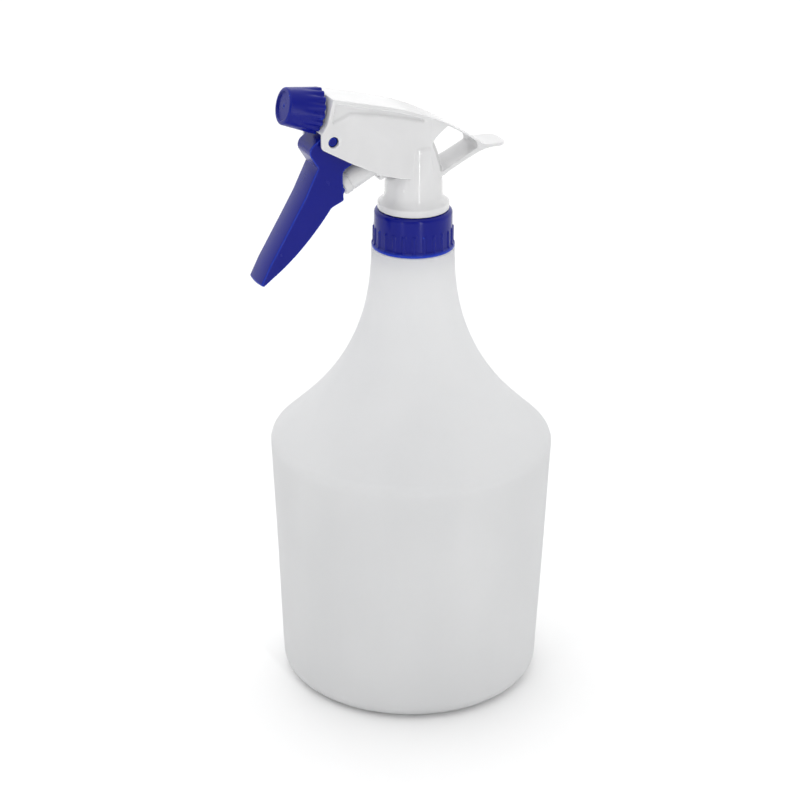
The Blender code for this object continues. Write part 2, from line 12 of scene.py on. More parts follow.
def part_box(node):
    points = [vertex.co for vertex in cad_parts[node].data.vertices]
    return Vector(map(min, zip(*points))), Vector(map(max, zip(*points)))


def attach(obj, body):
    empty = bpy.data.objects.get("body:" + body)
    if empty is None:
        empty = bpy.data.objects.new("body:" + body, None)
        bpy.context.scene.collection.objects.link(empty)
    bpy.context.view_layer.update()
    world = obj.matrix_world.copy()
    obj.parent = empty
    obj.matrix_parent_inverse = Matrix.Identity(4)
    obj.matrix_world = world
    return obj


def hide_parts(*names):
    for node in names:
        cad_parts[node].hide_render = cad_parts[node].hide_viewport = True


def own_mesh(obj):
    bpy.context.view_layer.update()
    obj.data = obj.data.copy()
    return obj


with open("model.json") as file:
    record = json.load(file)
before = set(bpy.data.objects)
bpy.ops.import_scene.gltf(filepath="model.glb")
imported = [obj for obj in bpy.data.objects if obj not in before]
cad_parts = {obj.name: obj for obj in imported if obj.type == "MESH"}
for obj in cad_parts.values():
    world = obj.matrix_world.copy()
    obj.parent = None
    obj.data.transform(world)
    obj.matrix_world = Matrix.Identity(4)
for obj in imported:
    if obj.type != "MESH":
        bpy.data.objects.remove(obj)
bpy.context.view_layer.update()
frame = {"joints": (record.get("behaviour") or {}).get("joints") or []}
joints = {joint["name"]: joint for joint in frame["joints"]}
MM = 0.001


# ---------------------------------------------------------------- bottle
# The bottle is blow-moulded in natural high-density polyethylene, a milky plastic about 1 mm thick.
# It has a stepped base, a slightly tapered wall, a tight shoulder and a long neck, whose finish
# carries one turn of right-hand thread. Two faint lines show where the mould's halves met.

bottle_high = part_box("bottle")[1]
base_radius = 52.0
base_corner = 7.0
shoulder_radius = bottle_high.x / MM
shoulder_height = 103.1
shoulder_corner = 6.0
neck_root = (16.2, 181.7)
finish_radius = 12.75
finish_bore = 10.8
mouth_height = bottle_high.z / MM
wall = 1.0
floor_wall = 1.3
thread_pitch = 4.23
thread_height = 1.05
thread_middle = 187.6
parting_line = math.radians(-24.0)


def arc_corner(before, corner, after, radius, steps=8):
    """Points of the arc that rounds one corner of an outline."""
    tip = Vector(corner)
    back = (Vector(before) - tip).normalized()
    ahead = (Vector(after) - tip).normalized()
    half = back.angle(ahead) / 2
    reach = radius / math.tan(half)
    centre = tip + (back + ahead).normalized() * radius / math.sin(half)
    start = tip + back * reach - centre
    sweep = start.angle_signed(tip + ahead * reach - centre)
    return [tuple(centre + Matrix.Rotation(-sweep * step / steps, 2) @ start) for step in range(steps + 1)]


def rounded(corners, steps=8):
    """An outline from (u, v, radius) corners, with an arc wherever the radius isn't zero."""
    points = []
    for index, (u, v, radius) in enumerate(corners):
        if radius == 0:
            points.append((u, v))
            continue
        before = corners[index - 1][:2]
        after = corners[(index + 1) % len(corners)][:2]
        points += arc_corner(before, (u, v), after, radius, steps)
    return points


def swept(start, pull_start, pull_end, end, steps):
    """Points along a cubic curve, both ends included."""
    points = []
    for step in range(steps + 1):
        t = step / steps
        weights = ((1 - t) ** 3, 3 * t * (1 - t) ** 2, 3 * t * t * (1 - t), t**3)
        handles = (start, pull_start, pull_end, end)
        points.append(tuple(sum(w * h[axis] for w, h in zip(weights, handles)) for axis in (0, 1)))
    return points


def filled_in(outline, step):
    """The same outline with points added, so that none are further apart than step."""
    points = [outline[0]]
    for a, b in zip(outline, outline[1:]):
        count = max(1, math.ceil(math.dist(a, b) / step))
        for i in range(1, count + 1):
            points.append((a[0] + (b[0] - a[0]) * i / count, a[1] + (b[1] - a[1]) * i / count))
    return points


def even_angles(count):
    return [math.tau * index / count for index in range(count)]


def turned(name, outline, angles, push=None, place=Matrix()):
    """Turns an outline of (radius, height) points, in millimetres, about the local Z axis.

    An outline that starts and ends on the axis closes there; any other makes a ring.
    push(angle, radius, height) is how far a point stands proud, for ribs, flutes and threads.
    """
    points = []
    rings = []
    for radius, height in outline:
        if radius < 1e-9:
            rings.append([len(points)])
            points.append((0.0, 0.0, height * MM))
            continue
        ring = range(len(points), len(points) + len(angles))
        for angle in angles:
            reach = radius + (push(angle, radius, height) if push else 0.0)
            points.append((reach * math.cos(angle) * MM, reach * math.sin(angle) * MM, height * MM))
        rings.append(list(ring))
    pairs = list(zip(rings, rings[1:]))
    if len(rings[0]) > 1:
        pairs.append((rings[-1], rings[0]))
    faces = []
    for here, there in pairs:
        for index in range(len(angles)):
            after = (index + 1) % len(angles)
            corners = (
                here[index % len(here)],
                here[after % len(here)],
                there[after % len(there)],
                there[index % len(there)],
            )
            faces.append(list(dict.fromkeys(corners)))
    mesh = bpy.data.meshes.new(name)
    mesh.from_pydata(points, [], faces)
    shape = bmesh.new()
    shape.from_mesh(mesh)
    bmesh.ops.recalc_face_normals(shape, faces=shape.faces)
    shape.to_mesh(mesh)
    shape.free()
    mesh.shade_smooth()
    mesh.set_sharp_from_angle(angle=math.radians(40))
    obj = bpy.data.objects.new(name, mesh)
    bpy.context.scene.collection.objects.link(obj)
    obj.matrix_world = place
    return obj


def ramp(value, low, high):
    """0 below low, 1 above high, and smooth in between."""
    t = min(max((value - low) / (high - low), 0.0), 1.0)
    return t * t * (3 - 2 * t)


def thread_ridge(angle, height, middle):
    """Share of the full thread height that one turn of right-hand thread has here."""
    turn = (angle % math.tau) / math.tau
    off = abs(height - middle - thread_pitch * (turn - 0.5))
    ends = ramp(turn, 0.0, 0.06) * (1 - ramp(turn, 0.94, 1.0))
    return (1 - ramp(off, 0.35, 1.0)) * ends


def bottle_surface(angle, radius, height):
    """Thread on the finish; below it the parting line and the slow waves of a blown wall."""
    if height > neck_root[1] + 0.8:
        outside = ramp(radius, finish_radius - 0.4, finish_radius - 0.2)
        return outside * thread_height * thread_ridge(angle, height, thread_middle)
    off = abs(math.remainder(angle - parting_line, math.pi)) * radius
    line = 0.09 * (1 - ramp(off, 0.15, 0.5))
    fade = ramp(height, 4.0, 14.0) * (1 - ramp(height, 172.0, 181.0))
    waves = math.sin(3 * angle + height / 21.0) + math.sin(5 * angle - height / 13.0 + 1.3)
    waves += 0.7 * math.sin(2 * angle + height / 34.0 + 2.1)
    return fade * (line + 0.045 * waves)


shoulder_top = (52.15, 106.6)
outer = arc_corner((0, 0), (base_radius - 0.4, 0), (shoulder_radius, shoulder_height), base_corner, 12)
outer += arc_corner((base_radius, 9), (shoulder_radius, shoulder_height), shoulder_top, shoulder_corner, 14)
outer += swept(shoulder_top, (40.6, 117.6), (15.1, 138.3), neck_root, 60)
finish = rounded(
    [
        (neck_root[0], neck_root[1], 0),
        (15.4, 182.1, 0.3),
        (finish_radius, 182.1, 0.4),
        (finish_radius, mouth_height, 0.5),
        (finish_bore, mouth_height, 0.4),
        (finish_bore, 182.6, 1.0),
        (13.4, 180.2, 1.0),
        (neck_root[0] - wall, neck_root[1] - 4, 0),
    ],
    5,
)
inner_neck_root = (neck_root[0] - wall, neck_root[1] - 4)
inner_shoulder_top = (51.0, 106.0)
inner = swept(inner_neck_root, (14.1, 138.3), (39.9, 116.6), inner_shoulder_top, 40)
inner += arc_corner(inner_shoulder_top, (shoulder_radius - wall, 102.8), (base_radius, 9), 5.0)
inner += arc_corner(
    (shoulder_radius - wall, shoulder_height),
    (base_radius - 0.4 - wall, floor_wall),
    (0, floor_wall),
    base_corner - 1,
    10,
)
step_up = [(41.0, floor_wall + 0.2), (39.0, floor_wall + 0.7), (0, floor_wall + 0.7)]
foot = rounded(
    [(0, 0, 0), (13.0, 0, 0.4), (14.2, 0.7, 0.4), (39.8, 0.7, 0.4), (41.5, 0, 0.5), (44.0, 0, 0)],
    4,
)
outline = filled_in(foot, 3.0) + filled_in(outer, 2.0)[:-1] + filled_in(finish, 0.3)
outline += filled_in(inner, 3.0)[1:] + step_up
line_radius = 56.0
line_zone = 0.016
near_line = [offset / line_radius for offset in (-0.6, -0.4, -0.2, 0.0, 0.2, 0.4, 0.6)]
angles = [a for a in even_angles(180) if abs(math.remainder(a - parting_line, math.pi)) > line_zone]
angles += [(parting_line + turn + offset) % math.tau for turn in (0, math.pi) for offset in near_line]
bottle = turned("blown_bottle", outline, sorted(angles), bottle_surface)
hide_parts("bottle")
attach(bottle, "bottle")


def shader_nodes(name):
    """A new material, its shader and a function that adds a node with these settings."""
    material = bpy.data.materials.new(name)
    material.use_nodes = True
    tree = material.node_tree
    shader = tree.nodes["Principled BSDF"]

    def node(kind, links=(), **values):
        made = tree.nodes.new(kind)
        for key, value in values.items():
            setattr(made, key, value)
        for socket, source in dict(links).items():
            if isinstance(source, bpy.types.NodeSocket):
                tree.links.new(source, made.inputs[socket])
            else:
                made.inputs[socket].default_value = source
        return made

    return material, tree, shader, node


def natural_polyethylene(name, shade, warm_shade, see_through):
    """Milky polyethylene: diffuse skin that passes light, with soft flow streaks and a waxy gloss."""
    material, tree, shader, node = shader_nodes(name)
    place = node("ShaderNodeTexCoord").outputs["Object"]
    drawn = node("ShaderNodeMapping", {"Vector": place, "Scale": (60.0, 60.0, 7.0)})
    streaks = node("ShaderNodeTexNoise", {"Vector": drawn.outputs[0], "Scale": 1.0, "Detail": 4.0})
    cloud = node("ShaderNodeTexNoise", {"Vector": place, "Scale": 28.0, "Detail": 3.0})
    both = node("ShaderNodeMath", {0: streaks.outputs[0], 1: cloud.outputs[0]}, operation="ADD")
    level = node("ShaderNodeMapRange", {"Value": both.outputs[0], "From Min": 0.75, "From Max": 1.25})
    tint = node("ShaderNodeMix", {0: level.outputs[0], 6: shade, 7: warm_shade}, data_type="RGBA")
    tree.links.new(tint.outputs[2], shader.inputs["Base Color"])
    gloss = node("ShaderNodeMapRange", {"Value": cloud.outputs[0], "To Min": 0.36, "To Max": 0.5})
    tree.links.new(gloss.outputs[0], shader.inputs["Roughness"])
    shader.inputs["IOR"].default_value = 1.5
    shader.inputs["Specular IOR Level"].default_value = 0.35
    grain = node("ShaderNodeTexNoise", {"Vector": place, "Scale": 900.0, "Detail": 3.0})
    ripple = node("ShaderNodeMapping", {"Vector": place, "Scale": (22.0, 22.0, 260.0)})
    rings = node("ShaderNodeTexNoise", {"Vector": ripple.outputs[0], "Scale": 1.0, "Detail": 2.0})
    coarse = node("ShaderNodeBump", {"Height": rings.outputs[0], "Strength": 0.25, "Distance": 0.0002})
    fine = node(
        "ShaderNodeBump",
        {"Height": grain.outputs[0], "Strength": 0.2, "Distance": 0.00003, "Normal": coarse.outputs[0]},
    )
    tree.links.new(fine.outputs[0], shader.inputs["Normal"])
    glow = node("ShaderNodeBsdfTranslucent", {"Color": tint.outputs[2], "Normal": fine.outputs[0]})
    mix = node("ShaderNodeMixShader", {0: see_through, 1: shader.outputs[0], 2: glow.outputs[0]})
    tree.links.new(mix.outputs[0], tree.nodes["Material Output"].inputs["Surface"])
    return material


bottle.data.materials.append(
    natural_polyethylene(
        "natural_polyethylene", (0.95, 0.952, 0.955, 1), (0.98, 0.981, 0.983, 1), see_through=0.58
    )
)


# ---------------------------------------------------------------- contents
# The bottle is filled to just under its shoulder with a clear cleaning liquid. Through the milky
# wall it shows only as a slightly greyer lower half, drawn with painted shade, with a thin line where the
# surface wets the wall.

fill_height = 101.5
gap = 0.12
inside = base_radius - 0.4 - wall - gap
liquid_outline = rounded(
    [
        (3.3, floor_wall + 0.9, 0),
        (39.0, floor_wall + 0.9, 0.3),
        (41.2, floor_wall + gap, 0.3),
        (inside, floor_wall + gap, base_corner - 1.2),
        (shoulder_radius - wall - gap - 0.12, fill_height + 0.9, 0),
        (shoulder_radius - wall - gap - 1.8, fill_height, 1.2),
        (3.3, fill_height, 0),
    ],
    8,
)
liquid = turned("cleaning_liquid", liquid_outline, even_angles(160))
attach(liquid, "bottle")


def liquid_with_painted_shade(name):
    """Clear liquid seen through milky plastic: a pale grey body whose grey is painted shade for the light the
    clear liquid lets through, painted darker towards the base.
    """
    material, tree, shader, node = shader_nodes(name)
    place = node("ShaderNodeTexCoord").outputs["Object"]
    cloud = node("ShaderNodeTexNoise", {"Vector": place, "Scale": 20.0, "Detail": 2.0})
    split = node("ShaderNodeSeparateXYZ", {0: place})
    # Painted shade: the grey gets darker towards the base of the liquid.
    depth = node("ShaderNodeMapRange", {"Value": split.outputs[2], "From Max": fill_height * MM})
    level = node("ShaderNodeMath", {0: cloud.outputs[0], 1: depth.outputs[0]}, operation="ADD")
    tint = node(
        "ShaderNodeMix",
        {0: level.outputs[0], 6: (0.58, 0.59, 0.60, 1), 7: (0.66, 0.67, 0.68, 1)},
        data_type="RGBA",
    )
    tree.links.new(tint.outputs[2], shader.inputs["Base Color"])
    gloss = node("ShaderNodeMapRange", {"Value": cloud.outputs[0], "To Min": 0.03, "To Max": 0.08})
    tree.links.new(gloss.outputs[0], shader.inputs["Roughness"])
    shader.inputs["IOR"].default_value = 1.33
    return material


liquid.data.materials.append(liquid_with_painted_shade("cleaning_liquid"))


# ---------------------------------------------------------------- closure
# The screw closure is injection-moulded in blue polypropylene. Fine ribs on the lower half of its
# skirt give grip, a thin flared lip ends it, and one turn of thread inside pulls the head down.

closure_low, closure_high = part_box("closure")
skirt_foot = closure_low.z / MM
skirt_top = closure_high.z / MM
skirt_radius = 15.1
lip_radius = 16.15
skirt_bore = 14.1
rib_count = 24
rib_top = 190.6
rib_stand = 0.5


def closure_surface(angle, radius, height):
    """Ribs outside, thread inside."""
    if radius > skirt_radius - 0.2:
        spacing = math.tau / rib_count
        off = abs(math.remainder(angle - spacing / 2, spacing)) * radius
        tall = ramp(height, skirt_foot + 1.2, skirt_foot + 1.7) * (1 - ramp(height, rib_top - 0.5, rib_top))
        return rib_stand * tall * (1 - ramp(off, 0.25, 0.95))
    if abs(radius - skirt_bore) < 0.05 and height < skirt_top - 2:
        middle = thread_middle - thread_pitch / 2 + 0.15
        return -(thread_height - 0.1) * thread_ridge(angle, height, middle)
    return 0.0


closure_outline = rounded(
    [
        (skirt_bore, skirt_foot, 0.2),
        (lip_radius, skirt_foot, 0.35),
        (lip_radius, skirt_foot + 1.15, 0.35),
        (skirt_radius + 0.1, skirt_foot + 1.9, 0.5),
        (skirt_radius, skirt_top, 1.5),
        (11.6, skirt_top, 0.3),
        (11.6, skirt_top - 1.5, 0.2),
        (skirt_bore, skirt_top - 1.5, 0.2),
    ],
    6,
)
closure_outline = filled_in(closure_outline + closure_outline[:1], 0.28)[:-1]
closure = turned("screw_closure", closure_outline, even_angles(rib_count * 22), closure_surface)
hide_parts("closure")
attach(closure, "closure")


def moulded_plastic(
    name, colour, edge_glow_and_wear_colour, gloss_range, seed, edge_glow_and_wear_share, scatter=0.0, shine=0.19, sharp=0.515
):
    """Injection-moulded plastic: faint flow clouding, a fine sparked grain and brighter thin edges, partly
    edge wear and partly a painted glow and highlight of the light that thin edges pass and catch.
    """
    material, tree, shader, node = shader_nodes(name)
    place = node("ShaderNodeTexCoord").outputs["Object"]
    shifted = node("ShaderNodeMapping", {"Vector": place, "Location": (seed, 0.3 * seed, 0.7 * seed)})
    flow = node(
        "ShaderNodeTexNoise",
        {"Vector": shifted.outputs[0], "Scale": 55.0, "Detail": 3.0, "Distortion": 1.2},
    )
    darker = tuple(channel * 0.86 for channel in colour[:3]) + (1,)
    body = node("ShaderNodeMix", {0: flow.outputs[0], 6: darker, 7: colour}, data_type="RGBA")
    # Painted glow and highlight: convex thin edges are painted towards the brighter edge colour, which also
    # stands for a little edge wear.
    bend = node("ShaderNodeNewGeometry").outputs["Pointiness"]
    edge = node(
        "ShaderNodeMapRange",
        {"Value": bend, "From Min": sharp, "From Max": 5 * sharp - 2.0, "To Max": edge_glow_and_wear_share},
    )
    tint = node("ShaderNodeMix", {0: edge.outputs[0], 6: body.outputs[2], 7: edge_glow_and_wear_colour}, data_type="RGBA")
    tree.links.new(tint.outputs[2], shader.inputs["Base Color"])
    handling = node("ShaderNodeTexNoise", {"Vector": shifted.outputs[0], "Scale": 140.0, "Detail": 5.0})
    low, high = gloss_range
    gloss = node(
        "ShaderNodeMapRange",
        {"Value": handling.outputs[0], "From Min": 0.3, "From Max": 0.7, "To Min": low, "To Max": high},
    )
    tree.links.new(gloss.outputs[0], shader.inputs["Roughness"])
    shader.inputs["IOR"].default_value = 1.49
    shader.inputs["Specular IOR Level"].default_value = shine
    if scatter:
        shader.inputs["Subsurface Weight"].default_value = scatter
        shader.inputs["Subsurface Scale"].default_value = 0.0008
        shader.inputs["Subsurface Radius"].default_value = (1.0, 1.0, 1.0)
    grain = node("ShaderNodeTexNoise", {"Vector": place, "Scale": 2600.0, "Detail": 2.0})
    sink = node("ShaderNodeTexNoise", {"Vector": shifted.outputs[0], "Scale": 130.0, "Detail": 1.0})
    broad = node("ShaderNodeBump", {"Height": sink.outputs[0], "Strength": 0.12, "Distance": 0.0002})
    fine = node(
        "ShaderNodeBump",
        {"Height": grain.outputs[0], "Strength": 0.08, "Distance": 0.00002, "Normal": broad.outputs[0]},
    )
    tree.links.new(fine.outputs[0], shader.inputs["Normal"])
    return material


BLUE = (0.004, 0.008, 0.22, 1)
BLUE_PAINTED_GLOW = (0.012, 0.050, 0.52, 1)
closure_blue = moulded_plastic(
    "closure_blue", BLUE, BLUE_PAINTED_GLOW, (0.12, 0.2), seed=1.0, edge_glow_and_wear_share=0.7, sharp=0.53
)
closure.data.materials.append(closure_blue)

# The flared lip is thin enough to pass some light; that light is painted in as a brighter blue, a painted
# glow.
nodes = closure_blue.node_tree.nodes
links = closure_blue.node_tree.links
height = nodes.new("ShaderNodeSeparateXYZ")
links.new(nodes.new("ShaderNodeTexCoord").outputs["Object"], height.inputs[0])
painted_lip_glow = nodes.new("ShaderNodeMapRange")
painted_lip_glow.inputs["From Min"].default_value = (skirt_foot + 1.7) * MM
painted_lip_glow.inputs["From Max"].default_value = (skirt_foot + 0.5) * MM
painted_lip_glow.inputs["To Max"].default_value = 0.75
links.new(height.outputs[2], painted_lip_glow.inputs["Value"])
glowing = nodes.new("ShaderNodeMix")
glowing.data_type = "RGBA"
glowing.inputs[7].default_value = BLUE_PAINTED_GLOW
closure_colour = nodes["Principled BSDF"].inputs["Base Color"]
links.new(painted_lip_glow.outputs[0], glowing.inputs[0])
links.new(closure_colour.links[0].from_socket, glowing.inputs[6])
links.new(glowing.outputs[2], closure_colour)


# ---------------------------------------------------------------- neck fittings
# Under the column a white insert holds the closure, the dip tube and a steel suction ball, and a
# foam washer seals it on the bottle's mouth. All of it is hidden once the closure is done up.

retainer_outline = rounded(
    [
        (4.4, 202.0, 0.2), (2.9, 202.0, 0.2), (2.9, 196.3, 0.2), (1.6, 195.0, 0.2), (1.6, 193.2, 0.1),
        (3.3, 193.0, 0.1), (3.3, 184.0, 0.2), (4.4, 184.0, 0.2), (4.4, 192.0, 0.3), (9.2, 192.0, 0.3),
        (9.2, 186.5, 0.2), (9.9, 186.5, 0.2), (10.4, 187.5, 0.2), (10.4, 193.5, 0.3), (13.2, 193.5, 0.3),
        (13.2, 195.5, 0.3), (9.6, 195.5, 0.3), (9.6, 203.0, 0.2), (8.4, 203.0, 0.2), (8.4, 196.2, 0.3),
        (4.4, 195.6, 0.3),
    ],
    3,
)
retainer = turned("tube_holder", retainer_outline, even_angles(72))
washer = turned(
    "foam_washer",
    rounded([(10.5, 192.1, 0.15), (13.4, 192.1, 0.15), (13.4, 193.2, 0.15), (10.5, 193.2, 0.15)], 3),
    even_angles(96),
)
tube_outline = filled_in([(2.1, 192.6), (2.1, 5.0), (3.0, 5.0), (3.0, 192.6)], 8.0)
dip_tube = turned("suction_tube", tube_outline, even_angles(40))
ball_radius = 2.3
ball_centre = 197.1
ball_steps = 32
ball_outline = [(0, -ball_radius)]
for step in range(1, ball_steps):
    climb = math.pi * (step / ball_steps - 0.5)
    ball_outline.append((ball_radius * math.cos(climb), ball_radius * math.sin(climb)))
ball_outline.append((0, ball_radius))
ball_seat = Matrix.Translation((0, 0, ball_centre * MM))
ball = turned("suction_ball", ball_outline, even_angles(48), place=ball_seat)


def stand_for(piece, node_name, body):
    """This piece is shown for that node and moves with that body."""
    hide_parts(node_name)
    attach(piece, body)


stand_for(retainer, "tube_retainer", "head")
stand_for(washer, "neck_gasket", "head")
stand_for(dip_tube, "dip_tube", "head")
stand_for(ball, "inlet_ball", "inlet_ball")

WHITE = (0.75, 0.75, 0.755, 1)
WHITE_PAINTED_GLOW = (0.84, 0.84, 0.845, 1)
insert_white = moulded_plastic("insert_white", WHITE, WHITE_PAINTED_GLOW, (0.25, 0.4), seed=4.0, edge_glow_and_wear_share=0.5)
retainer.data.materials.append(insert_white)
dip_tube.data.materials.append(
    natural_polyethylene(
        "tube_polyethylene", (0.80, 0.82, 0.84, 1), (0.86, 0.87, 0.88, 1), see_through=0.35
    )
)


def foam(name, shade, pore_painted_shade):
    """Closed-cell foam with a skin of small pores, each pore darkened with painted shade."""
    material, tree, shader, node = shader_nodes(name)
    place = node("ShaderNodeTexCoord").outputs["Object"]
    pores = node("ShaderNodeTexVoronoi", {"Vector": place, "Scale": 2500.0})
    tint = node("ShaderNodeMix", {0: pores.outputs["Distance"], 6: pore_painted_shade, 7: shade}, data_type="RGBA")
    tree.links.new(tint.outputs[2], shader.inputs["Base Color"])
    gloss = node("ShaderNodeMapRange", {"Value": pores.outputs["Distance"], "To Min": 0.7, "To Max": 0.95})
    tree.links.new(gloss.outputs[0], shader.inputs["Roughness"])
    bump = node("ShaderNodeBump", {"Height": pores.outputs["Distance"], "Strength": 0.6, "Distance": 0.0001})
    tree.links.new(bump.outputs[0], shader.inputs["Normal"])
    return material


washer.data.materials.append(foam("washer_foam", (0.80, 0.80, 0.78, 1), (0.55, 0.55, 0.53, 1)))


def stainless(name, drawn):
    """Stainless steel, with drawing lines along the wire where drawn is large."""
    material, tree, shader, node = shader_nodes(name)
    place = node("ShaderNodeTexCoord").outputs["Object"]
    lines = node("ShaderNodeTexNoise", {"Vector": place, "Scale": drawn, "Detail": 4.0})
    tint = node(
        "ShaderNodeMix",
        {0: lines.outputs[0], 6: (0.50, 0.50, 0.51, 1), 7: (0.72, 0.72, 0.72, 1)},
        data_type="RGBA",
    )
    tree.links.new(tint.outputs[2], shader.inputs["Base Color"])
    gloss = node("ShaderNodeMapRange", {"Value": lines.outputs[0], "To Min": 0.12, "To Max": 0.35})
    tree.links.new(gloss.outputs[0], shader.inputs["Roughness"])
    shader.inputs["Metallic"].default_value = 1.0
    bump = node("ShaderNodeBump", {"Height": lines.outputs[0], "Strength": 0.1, "Distance": 0.00002})
    tree.links.new(bump.outputs[0], shader.inputs["Normal"])
    return material


ball.data.materials.append(stainless("ball_steel", 300.0))


# ---------------------------------------------------------------- sprayer body
# The outer moulding is one piece of glossy white polypropylene: a flange and column on the neck,
# two cheeks that carry the trigger, a thin roof, and a thumb tail with an open window under it.

column_radius = 11.1
column_bore = 9.9
flange_radius = 13.83
cheek_half = 10.0
cavity_half = 8.4
tail_half = 6.5
tail_end = 36.4
tail_top = 221.0
tail_under = tail_top - 1.2
tail_roof_wall = 0.9
pivot = (joints["trigger_pull"]["pos_m"][0] / MM, joints["trigger_pull"]["pos_m"][2] / MM)
pivot_hole = 2.1
nozzle_axis = Vector(joints["nozzle_turn"]["axis"])
nozzle_rise = math.asin(nozzle_axis.z)
roof_front = (-36.9, 246.9)
roof_bend_x = -16.0
roof_bend_radius = 113.0
roof_wall = 1.4


def seated(origin, axis):
    """Frame with its origin at this point, in metres, and its Z axis along this axis."""
    lean = math.atan2(axis[0], axis[2])
    return Matrix.Translation(Vector(origin)) @ Matrix.Rotation(lean, 4, "Y")


nozzle_seat = seated(joints["nozzle_turn"]["pos_m"], nozzle_axis)


def cross_seat(x, z):
    """Frame at (x, z), in millimetres, with its Z axis across the head."""
    return Matrix.Translation((x * MM, 0, z * MM)) @ Matrix.Rotation(-math.pi / 2, 4, "X")


def slab(name, outline, low, high, plan=False):
    """An (x, z) outline carried across the head from y low to high, or an (x, y) outline carried up."""
    shape = bmesh.new()
    if plan:
        corners = [shape.verts.new((x * MM, y * MM, low * MM)) for x, y in outline]
        along = (0, 0, (high - low) * MM)
    else:
        corners = [shape.verts.new((x * MM, low * MM, z * MM)) for x, z in outline]
        along = (0, (high - low) * MM, 0)
    lifted = bmesh.ops.extrude_face_region(shape, geom=[shape.faces.new(corners)])
    moved = [item for item in lifted["geom"] if isinstance(item, bmesh.types.BMVert)]
    bmesh.ops.translate(shape, verts=moved, vec=along)
    bmesh.ops.recalc_face_normals(shape, faces=shape.faces)
    mesh = bpy.data.meshes.new(name)
    shape.to_mesh(mesh)
    shape.free()
    obj = bpy.data.objects.new(name, mesh)
    bpy.context.scene.collection.objects.link(obj)
    return obj


def settled(obj):
    """Turns an object's modifiers into its mesh, in world places."""
    bpy.context.view_layer.update()
    graph = bpy.context.evaluated_depsgraph_get()
    mesh = bpy.data.meshes.new_from_object(obj.evaluated_get(graph))
    mesh.transform(obj.matrix_world)
    obj.modifiers.clear()
    obj.data = mesh
    obj.matrix_world = Matrix()


def combine(target, tool, operation):
    """Joins, cuts or intersects target with tool, and removes tool."""
    step = target.modifiers.new(operation.lower(), "BOOLEAN")
    step.operation = operation
    step.solver = "EXACT"
    step.object = tool
    settled(target)
    bpy.data.objects.remove(tool)


def skinned(obj, voxel, passes, kept_share=1.0):
    """Covers joined shapes with one even skin and softens every edge as a polished mould does."""
    skin = obj.modifiers.new("skin", "REMESH")
    skin.mode = "VOXEL"
    skin.voxel_size = voxel * MM
    soften = obj.modifiers.new("soften", "SMOOTH")
    soften.factor = 0.5
    soften.iterations = passes
    if kept_share < 1:
        thin_out = obj.modifiers.new("thin_out", "DECIMATE")
        thin_out.ratio = kept_share
    settled(obj)
    obj.data.shade_smooth()


def roof_height(x):
    """Height of the roof line: straight along the nozzle axis, then one long arc down."""
    fall = math.tan(nozzle_rise)
    if x <= roof_bend_x:
        return roof_front[1] - fall * (x - roof_front[0])
    bend_height = roof_front[1] - fall * (roof_bend_x - roof_front[0])
    heading = math.asin(math.sin(nozzle_rise) + (x - roof_bend_x) / roof_bend_radius)
    return bend_height - roof_bend_radius * (math.cos(nozzle_rise) - math.cos(heading))


def roof_line(start, end, steps, below=0.0):
    xs = [start + (end - start) * step / steps for step in range(steps + 1)]
    return [(x, roof_height(x) - below) for x in xs]


cheek_outline = roof_line(roof_front[0], 26.0, 48)
cheek_outline += swept((26.4, roof_height(26.4)), (27.2, 221.1), (28.0, tail_top), (29.5, tail_top), 6)
cheek_outline += [(tail_end + 1, tail_top), (tail_end + 1, tail_under)]
cheek_outline += swept((31.0, tail_under), (28.0, tail_under), (25.0, 218.9), (22.5, 217.7), 12)
cheek_outline += swept((10.6, 211.9), (9.8, 211.4), (8.6, 210.6), (6.0, 210.6), 4)
cheek_foot = [(-3.0, 211.9, 0), (-9.3, 212.9, 3.0), (-16.5, 214.9, 3.0), (-29.3, 221.2, 0)]
cheek_outline += rounded(cheek_foot, 4)[:-1]
cheek_outline += rounded([(-29.3, 221.2, 0), (-41.6, 228.2, 2.0), (-41.4, 234.2, 0.8), (-39.3, 237.4, 0)])
body = slab("sprayer_moulding", cheek_outline, -cheek_half, cheek_half)

window = roof_line(11.0, 23.2, 16, tail_roof_wall)
window += rounded(
    [
        (*window[-1], 0), (23.9, 220.3, 0.8), (8.0, 212.4, 1.0), (5.2, 220.8, 2.5), (3.0, 225.7, 2.8),
        (*window[0], 0),
    ],
    6,
)[1:-1]
combine(body, slab("window", window, -15, 15), "DIFFERENCE")

lip = roof_line(-36.6, 3.0, 24, 1.7)
band = [(-37.3, 237.9), (lip[0][0] + 0.9, lip[0][1])] + lip[1:]
band_foot = [(3.0, 238.0, 0), (0.5, 234.3, 0), (-18.4, 238.9, 6), (-30.4, 240.9, 1.5), (-37.3, 237.9, 0)]
band += rounded(band_foot)[1:-1]
ledge = [(x, z - 0.55) for x, z in band]
for side in (-1, 1):
    for shape, depth in ((band, 9.0), (ledge, 9.55)):
        low, high = sorted((side * depth, side * (cheek_half + 3)))
        combine(body, slab("band", shape, low, high), "DIFFERENCE")

plan = [(-45.0, cheek_half + 1), (2.0, cheek_half + 1)]
plan += swept(
    (3.5, cheek_half - 0.4), (6.5, cheek_half - 1.6), (9.0, tail_half + 0.4), (15.0, tail_half + 0.2), 10
)
plan += arc_corner(plan[-1], (tail_end, tail_half), (tail_end, -tail_half), 4.2, 10)
plan += [(x, -y) for x, y in reversed(plan)]
combine(body, slab("plan", plan, 200, 260, plan=True), "INTERSECT")

